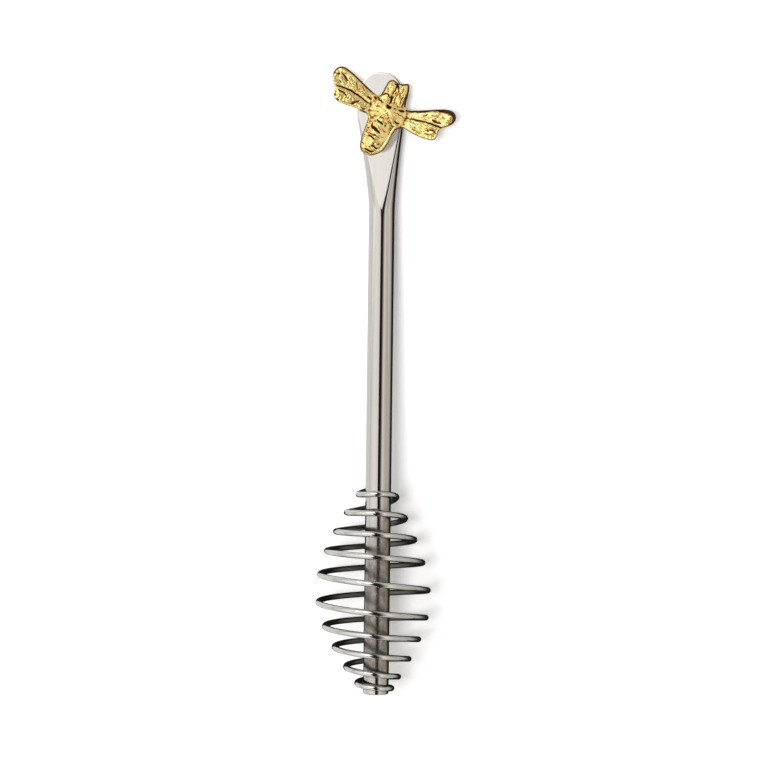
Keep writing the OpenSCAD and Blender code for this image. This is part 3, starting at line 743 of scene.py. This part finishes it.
# The cuts that the pattern maker's chisel left: their lines, then their width, depth and darkness
CUTS = [
    ([(-1.15, 2.1), (-0.5, 1.3), (0.15, 1.9)], 0.3, 0.9, 1), ([(-0.5, 1.9), (-0.35, 1)], 0.28, 0.7, 1),
    ([(-1.5, 8), (-0.9, 8.15), (-0.2, 7.6), (0, 7.1)], 0.2, 0.5, 0.9),
    ([(-0.7, 7.8), (-0.9, 6.2), (-1.2, 4.8)], 0.14, 0.3, 0.4),
    ([(0, 7.6), (0.4, 6), (0.1, 4.6), (0.3, 3)], 0.15, 0.35, 0.5),
    ([(-1.2, 4.9), (-0.9, 3.8), (-0.6, 2.4)], 0.17, 0.4, 0.6), ([(1.2, 8.3), (1.4, 6.4)], 0.12, 0.25, 0.4),
    ([(0.9, 6), (1.4, 4.6)], 0.13, 0.3, 0.5), ([(1.9, 5.8), (1.9, 4.2)], 0.13, 0.3, 0.5),
    ([(-3.8, 3.6), (-3.1, 4.6), (-2.1, 4.8), (-1.3, 4.1)], 0.17, 0.4, 0.7),
    ([(-3.6, 2.8), (-2.9, 2.2), (-1.9, 2.1)], 0.15, 0.3, 0.5),
    ([(-2.9, 6.8), (-2.3, 5.4)], 0.13, 0.25, 0.3), ([(-2.8, 8.4), (-2.1, 8.5)], 0.14, 0.25, 0.4),
    ([(2.2, 1.8), (2.9, 2.1), (3.8, 2.25)], 0.27, 0.6, 1),
    ([(2.8, 3), (2.6, 5), (2.3, 6.8)], 0.15, 0.3, 0.6),
    ([(-7, 2), (-6.3, 1.75), (-5.7, 1.8)], 0.22, 0.4, 0.9), ([(-5.3, 2.9), (-4.6, 2.3)], 0.22, 0.4, 0.8),
    ([(-4, 0.6), (-2.6, 0.9)], 0.16, 0.25, 0.35), ([(-3.6, -0.8), (-2.2, -0.6)], 0.16, 0.25, 0.35),
    ([(1.2, 0.9), (3, 0.8), (4.6, 0.7)], 0.14, 0.25, 0.35),
    ([(2.3, -1.2), (3.1, -1.5), (3.9, -1.4)], 0.22, 0.4, 0.8),
    ([(-2.1, -2.7), (-1.1, -3.1), (0, -3.4)], 0.2, 0.5, 1), ([(0.5, -3.1), (0.9, -3.7)], 0.16, 0.3, 0.5),
    ([(-3.1, -4.1), (-2.5, -4.8), (-1.5, -5.4), (-0.7, -5.6), (0.1, -6)], 0.27, 0.7, 1),
    ([(-3.5, -6.8), (-1.4, -7), (0.7, -7)], 0.13, 0.3, 0.45),
    ([(-2.6, -7.4), (-1.2, -7.8), (0, -7.9)], 0.18, 0.5, 0.8),
    ([(-0.3, -8.1), (-0.25, -9.8)], 0.13, 0.35, 0.7),
    ([(-0.8, -9.7), (0.2, -9.7), (1.2, -10)], 0.2, 0.5, 0.9),
    ([(-3.8, -9.8), (-2.6, -10.1)], 0.14, 0.25, 0.35),
    ([(-2.1, -11.2), (-0.8, -11.3), (0.6, -11)], 0.22, 0.5, 0.9),
    ([(-1.9, -12), (-0.2, -11.95)], 0.15, 0.25, 0.7), ([(0.7, -8.9), (1.1, -8.6)], 0.14, 0.25, 0.5),
    ([(-15.9, 5.1), (-14.8, 4.5), (-13.2, 3.7)], 0.2, 0.35, 0.75),
    ([(-16.9, 4.7), (-16.3, 4.4)], 0.22, 0.35, 0.8),
    ([(-15.1, 0.5), (-13.4, 0.35), (-12.3, 0)], 0.19, 0.35, 0.85),
    ([(-10.6, -1.75), (-9.6, -1), (-8.3, 0)], 0.19, 0.35, 0.8),
    ([(-11.3, 4.6), (-10.8, 3.6), (-9.9, 2.6)], 0.15, 0.25, 0.5),
    ([(-14.7, -1.9), (-13.6, -2)], 0.2, 0.25, 0.6), ([(-15.6, -0.9), (-14.8, -1.5)], 0.2, 0.25, 0.5),
    ([(-9.2, 3.9), (-8.4, 3)], 0.14, 0.25, 0.45),
    ([(-7.7, -1.1), (-6.7, -1.5), (-6.1, -1.3)], 0.17, 0.3, 0.6),
    ([(-15.9, 2.9), (-14.9, 2.6)], 0.2, 0.25, 0.45),
    ([(11.6, 3.05), (13, 3), (14.4, 3.2)], 0.19, 0.35, 0.85), ([(9.1, 3.1), (10, 3.9)], 0.13, 0.2, 0.4),
    ([(12, 0.3), (13, 0.45), (14, 0.2)], 0.18, 0.3, 0.8), ([(11.4, -0.1), (12.1, 0)], 0.15, 0.25, 0.6),
    ([(11.2, -1), (12.6, -0.8), (13.6, -0.9)], 0.15, 0.25, 0.5),
    ([(7, -1), (9, -1.4), (10.4, -1.5)], 0.13, 0.2, 0.35), ([(14.4, 1.4), (14.5, 0.2)], 0.16, 0.2, 0.7),
    ([(10.5, 2), (13, 2.2), (15.2, 2.3)], 0.17, 0.3, 0.7),
    ([(4.2, 0.75), (7, 1.35), (10.5, 1.95)], 0.12, 0.2, 0.4),
    ([(-16, 1.45), (-12, 1.75), (-9.5, 1.4), (-6.8, 0.7)], 0.15, 0.3, 0.65),
    ([(5, 3), (7, 3.65), (8.6, 4.3)], 0.14, 0.25, 0.5),
    ([(9, 4.55), (11.5, 5.75), (14, 6.8)], 0.14, 0.3, 0.6),
    ([(12.4, 6.15), (14.6, 6.95), (16.2, 6.75), (16.95, 5.9), (17, 4.7)], 0.42, 0.35, 1),
    ([(3.9, 2.95), (5.6, 3.15), (7.6, 3.85), (9.6, 4.7)], 0.25, 0.3, 1)]
# Raised ribs, worn pale and painted as highlights: their lines, then their width and height
RIBS = [
    ([(-0.3, 0.7), (1, 0), (3.7, -0.7)], 0.42, 0.3), ([(0.4, 0.5), (2.2, 0.9), (4.4, 1.15)], 0.22, 0.18),
    ([(0, 0.2), (-1.4, -0.9), (-2.2, -2.2)], 0.22, 0.12),
    ([(-0.6, 0.3), (-3, -0.2), (-5.4, -0.6)], 0.22, 0.12),
    ([(-12.4, 0.7), (-9.5, -0.2), (-7.2, -0.9)], 0.65, 0.16),
    ([(-9, 0.3), (-7, 0.1), (-5.2, -0.4)], 0.3, 0.16), ([(-12, -1.3), (-10.9, -0.9)], 0.4, 0.14),
    ([(-16.7, 5.6), (-14.2, 5.6), (-11.7, 4.8)], 0.3, 0.12),
    ([(-16.6, 3.4), (-13.5, 3), (-10, 2.1)], 0.28, 0.12), ([(-15, -0.7), (-13, -1)], 0.35, 0.14),
    ([(5, 2.7), (8.5, 3.7), (12, 5), (14.6, 6)], 0.36, 0.14),
    ([(7, 2.1), (11, 3.7), (15.8, 4.6)], 0.26, 0.12), ([(6, -0.3), (10, 0.3), (13.6, 1.2)], 0.36, 0.14),
    ([(7, -1.4), (10.5, -0.9)], 0.28, 0.12), ([(-1.1, 7.2), (-1.6, 5.6), (-1.5, 4.9)], 0.24, 0.2),
    ([(0.5, 6.6), (0.75, 4.6)], 0.2, 0.16), ([(1.7, 7.6), (1.8, 6.3)], 0.25, 0.14),
    ([(-3, 7.6), (-2.7, 6.2)], 0.25, 0.14), ([(-2.1, 3.6), (-1.5, 2.8)], 0.24, 0.16),
    ([(-1.9, -3.5), (-0.7, -3.7), (0.4, -4.3)], 0.2, 0.24),
    ([(-3, -5.1), (-2, -5.9), (-0.6, -6.4)], 0.2, 0.24),
    ([(1.4, -3.1), (1.9, -5.5), (1.6, -7.8)], 0.4, 0.1),
    ([(-3.4, -8.6), (-2, -8.9), (-0.7, -8.8)], 0.5, 0.14), ([(0.3, -8.7), (1, -9.3)], 0.3, 0.18),
    ([(-3.2, -10.6), (-1.5, -10.7), (0.3, -10.4)], 0.24, 0.24)]
SHAKE, SHAKE_SIZE = 0.16, 0.6
shaken = spots + SHAKE * np.stack([wavering(x / SHAKE_SIZE, y / SHAKE_SIZE) for _ in "xy"], -1)
worn_highlight = np.zeros(x.shape)
for line, width, rise in RIBS:
    distance, reached = chisel(line, shaken)
    rib = np.exp(-(distance / width) ** 2) * np.clip(4 * reached * (1 - reached), 0.2, 1)
    height_field += rise * rib
    worn_highlight = np.maximum(worn_highlight, rib)
dark_cuts = np.zeros(x.shape)
for line, width, depth, dark in CUTS:
    distance, reached = chisel(line, shaken)
    pointed = 0.3 + 0.9 * np.sqrt(np.clip(1 - (2 * reached - 1) ** 2, 0, 1))
    height_field -= 0.7 * depth * pointed * np.exp(-(distance / (width * pointed)) ** 2)
    filled = np.exp(-(distance / (width * pointed) / 1.15) ** 4) * np.clip(2 * pointed, 0, 1)
    dark_cuts = np.maximum(dark_cuts, dark * filled)

# Fine hatching: fur on the thorax and the head, rings on the tail, veins on the wings
HATCH, SPECKLE, BLOTCH = 0.05, 0.02, 0.045
fan_grain = wavering(root_turn * 30, away * 0.7) + 0.6 * wavering(root_turn * 55, away * 1.1)
fur = wavering(fur_turn / math.tau * 54, fur_out * 2.4, ring=54)
head_fur = wavering((x + 0.1 * x * (y - 3)) * 3, y * 0.8)
tail_fur = wavering(x * 1.1 + 0.4 * y, y * 3.1 + 0.3 * x)
veins = wavering(root_turn * 70, away * 0.35) + np.where(left, 1, 0.2) * wavering(x * 2.1, y * 2.1)
on_head, on_tail = soft_step(y, 2.6, 3.8), soft_step(-y, 1.2, 2.6)
body_fur = on_head * head_fur + on_tail * tail_fur + (1 - on_head - on_tail) * fur
height_field += HATCH * (on_wing * veins + (1 - on_wing) * body_fur)
height_field += SPECKLE * wavering(x / 0.3, y / 0.3) + BLOTCH * (
    on_wing * 0.6 * wear * fan_grain + (1.1 - on_wing) * wavering(x / 0.7, y / 0.7))
THINNEST = 0.22
height_field = np.maximum(height_field, under + THINNEST)


def smoothed(field, times):
    for _ in range(times):
        for axis in (0, 1):
            field = (np.roll(field, 1, axis) + 2 * field + np.roll(field, -1, axis)) / 4
    return field


# Tarnish and painted shade, from -1 where the gold is worn pale and on the ribs painted as a highlight, over
# 0, to 1 in the dark of the cuts. Painted shade also lies along the front edges of the wings, down both sides
# of the head and along the tail's left edge.
hollow = np.clip((smoothed(height_field, 40) - smoothed(height_field, 2)) / 0.3, -1, 1)
fine_hollow = np.clip((smoothed(height_field, 8) - smoothed(height_field, 1)) / 0.07, -1, 1)
# Painted shade along the wings' front edges, both sides of the head and the tail's left edge
facing_front = soft_step(-np.gradient(edge, GRAIN, axis=1), 0.3, 0.7)
front_edge_shade = facing_front * on_wing * (1 - soft_step(edge, 0.35, 0.65))
front_edge_shade = front_edge_shade * np.where(left, 1, 0.6 * soft_step(edge, 0.1, 0.35))
head_side_shade = np.where(x > 0, 0.95, 0.6) * soft_step(y, 3, 4.4) * (1 - soft_step(edge, 0.3, 0.6))
tail_side_shade = 0.6 * soft_step(-x, 1, 3) * soft_step(-y, 2, 4) * (1 - soft_step(edge, 0.2, 0.45))
hollows_and_highlights = np.where(hollow > 0, 0.8, 1) * hollow + 0.4 * fine_hollow - 0.7 * worn_highlight
tarnish = np.maximum.reduce([hollows_and_highlights, dark_cuts, front_edge_shade, head_side_shade, tail_side_shade])

# The casting's skin: the relief above, the flat back below, and a wall between their edges
kept = (edge[:-1, :-1] + edge[1:, :-1] + edge[:-1, 1:] + edge[1:, 1:]) > 0
number = np.arange(x.size).reshape(x.shape)
cells = np.stack([number[:-1, :-1], number[1:, :-1], number[1:, 1:], number[:-1, 1:]], -1)[kept]
sides = np.concatenate([cells[:, [i, (i + 1) % 4]] for i in range(4)])
keys = sides[:, 0] * x.size + sides[:, 1]
rim_sides = sides[~np.isin(keys, sides[:, 1] * x.size + sides[:, 0])]
slope = np.stack(np.gradient(edge, GRAIN), -1).reshape(-1, 2)
flat = spots.reshape(-1, 2).copy()
rim = np.unique(rim_sides)
flat[rim] -= edge.reshape(-1)[rim, None] * slope[rim]
used = np.unique(cells)
place = np.full(x.size, -1)
place[used] = np.arange(len(used))
above = np.column_stack([flat[used], height_field.reshape(-1)[used]]) / 1000
below = np.column_stack([flat[used], under.reshape(-1)[used]]) / 1000
cells, rim_sides = place[cells], place[rim_sides]
start, end = rim_sides.T
wall = np.column_stack([start, start + len(used), end + len(used), end])
skin = [*cells, *(cells[:, ::-1] + len(used)), *wall]
bee = mesh_object("bee_relief", np.concatenate([above, below]), skin, on_paddle)
bee.data.shade_smooth()
bee.data.set_sharp_from_angle(angle=math.radians(60))
darkness = bee.data.attributes.new("tarnish", "FLOAT", "POINT")
darkness.data.foreach_set("value", np.concatenate([tarnish.reshape(-1)[used], np.zeros(len(used))]))

# From pale gold, worn and painted as a highlight, over bright gold, to the brown and black of the cuts and of
# the painted shade
GILT = [(0, (1, 0.92, 0.64)), (0.3, (1, 0.85, 0.44)), (0.5, (0.98, 0.77, 0.31)),
        (0.62, (0.74, 0.5, 0.14)), (0.78, (0.26, 0.13, 0.03)), (1, (0.07, 0.03, 0.01))]
CAST_SKIN, CAST_DEPTH, CAST_STRETCH, GOLD_BLOTCH = 0.00045, 0.00004, (1.8, 1, 1), 0.0022
gold, gold_shader, on_gold = metal("gold_plate", (0.93, 0.7, 0.3), 0.19)
gold_shader.inputs["Metallic"].default_value = 0.78
deep = on_gold.node("ShaderNodeAttribute", {"attribute_name": "tarnish"}).output("Fac")
cast_skin = noise(on_gold, CAST_SKIN, 3, CAST_STRETCH, 0.6)
blotches = noise(on_gold, GOLD_BLOTCH, 2)
joined(on_gold.node("ShaderNodeValToRGB", {"stops": GILT}, {
    "Fac": (1.35 * deep + 0.8 * (cast_skin - 0.5) + 0.6 * (blotches - 0.5)) / 2 + 0.49}),
    gold_shader, "Base Color")
joined(0.16 + 0.1 * cast_skin + 0.3 * step_up(deep, 0, 0.8), gold_shader, "Roughness")
bumped(cast_skin, gold_shader, 0.8, CAST_DEPTH)
bee.data.materials.append(gold)
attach(bee, "root")
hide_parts("bee_casting")


# The rivets, two pins of brass that run through the paddle into the bee. Their sunk heads are
# filed flush with the back of the paddle, and show the marks of the file.
BRASS_DARK, BRASS_LIGHT = (0.7, 0.5, 0.2, 1), (0.86, 0.67, 0.33, 1)
FILE_MARK, FILE_DEPTH, FILE_STRETCH, BRASS_PATCH = 0.00012, 0.000006, (1, 14, 1), 0.0008
brass, brass_shader, on_brass = metal("filed_brass", (0.8, 0.6, 0.27), 0.25)
file_marks = noise(on_brass, FILE_MARK, 3, FILE_STRETCH, 0.6)
joined(mixed(noise(on_brass, BRASS_PATCH, 2), BRASS_DARK, BRASS_LIGHT), brass_shader, "Base Color")
joined(0.2 + 0.25 * file_marks, brass_shader, "Roughness")
bumped(file_marks, brass_shader, 0.6, FILE_DEPTH)
rivets = frame["nodes"]["bee_rivets"]
rivets.data.materials.clear()
rivets.data.materials.append(brass)


# The welds, a bead over each end of the wire at the back of the rod, brushed clean but still
# rippled, with a trace of straw and blue from the heat
HEAT_TINTS = [(0.3, (0.5, 0.48, 0.46)), (0.5, (0.5, 0.4, 0.27)), (0.62, (0.33, 0.3, 0.36)),
              (0.75, (0.46, 0.46, 0.47))]
WELD_RIPPLE, RIPPLE_DEPTH, HEAT_PATCH = 0.00035, 0.00004, 0.0014
bead, bead_shader, on_bead = metal("cleaned_weld", (0.5, 0.49, 0.47), 0.3)
ripples = on_bead.node("ShaderNodeTexWave", {"wave_type": "RINGS", "rings_direction": "SPHERICAL"}, {
    "Vector": on_bead, "Scale": 0.3 / WELD_RIPPLE, "Distortion": 2, "Detail": 2}, out=1)
joined(on_bead.node("ShaderNodeValToRGB", {"stops": HEAT_TINTS}, {
    "Fac": noise(on_bead, HEAT_PATCH, 2)}), bead_shader, "Base Color")
joined(0.22 + 0.25 * ripples, bead_shader, "Roughness")
bumped(ripples, bead_shader, 0.6, RIPPLE_DEPTH)
for name in ("weld_upper", "weld_lower"):
    weld = frame["nodes"][name]
    weld.data.materials.clear()
    weld.data.materials.append(bead)
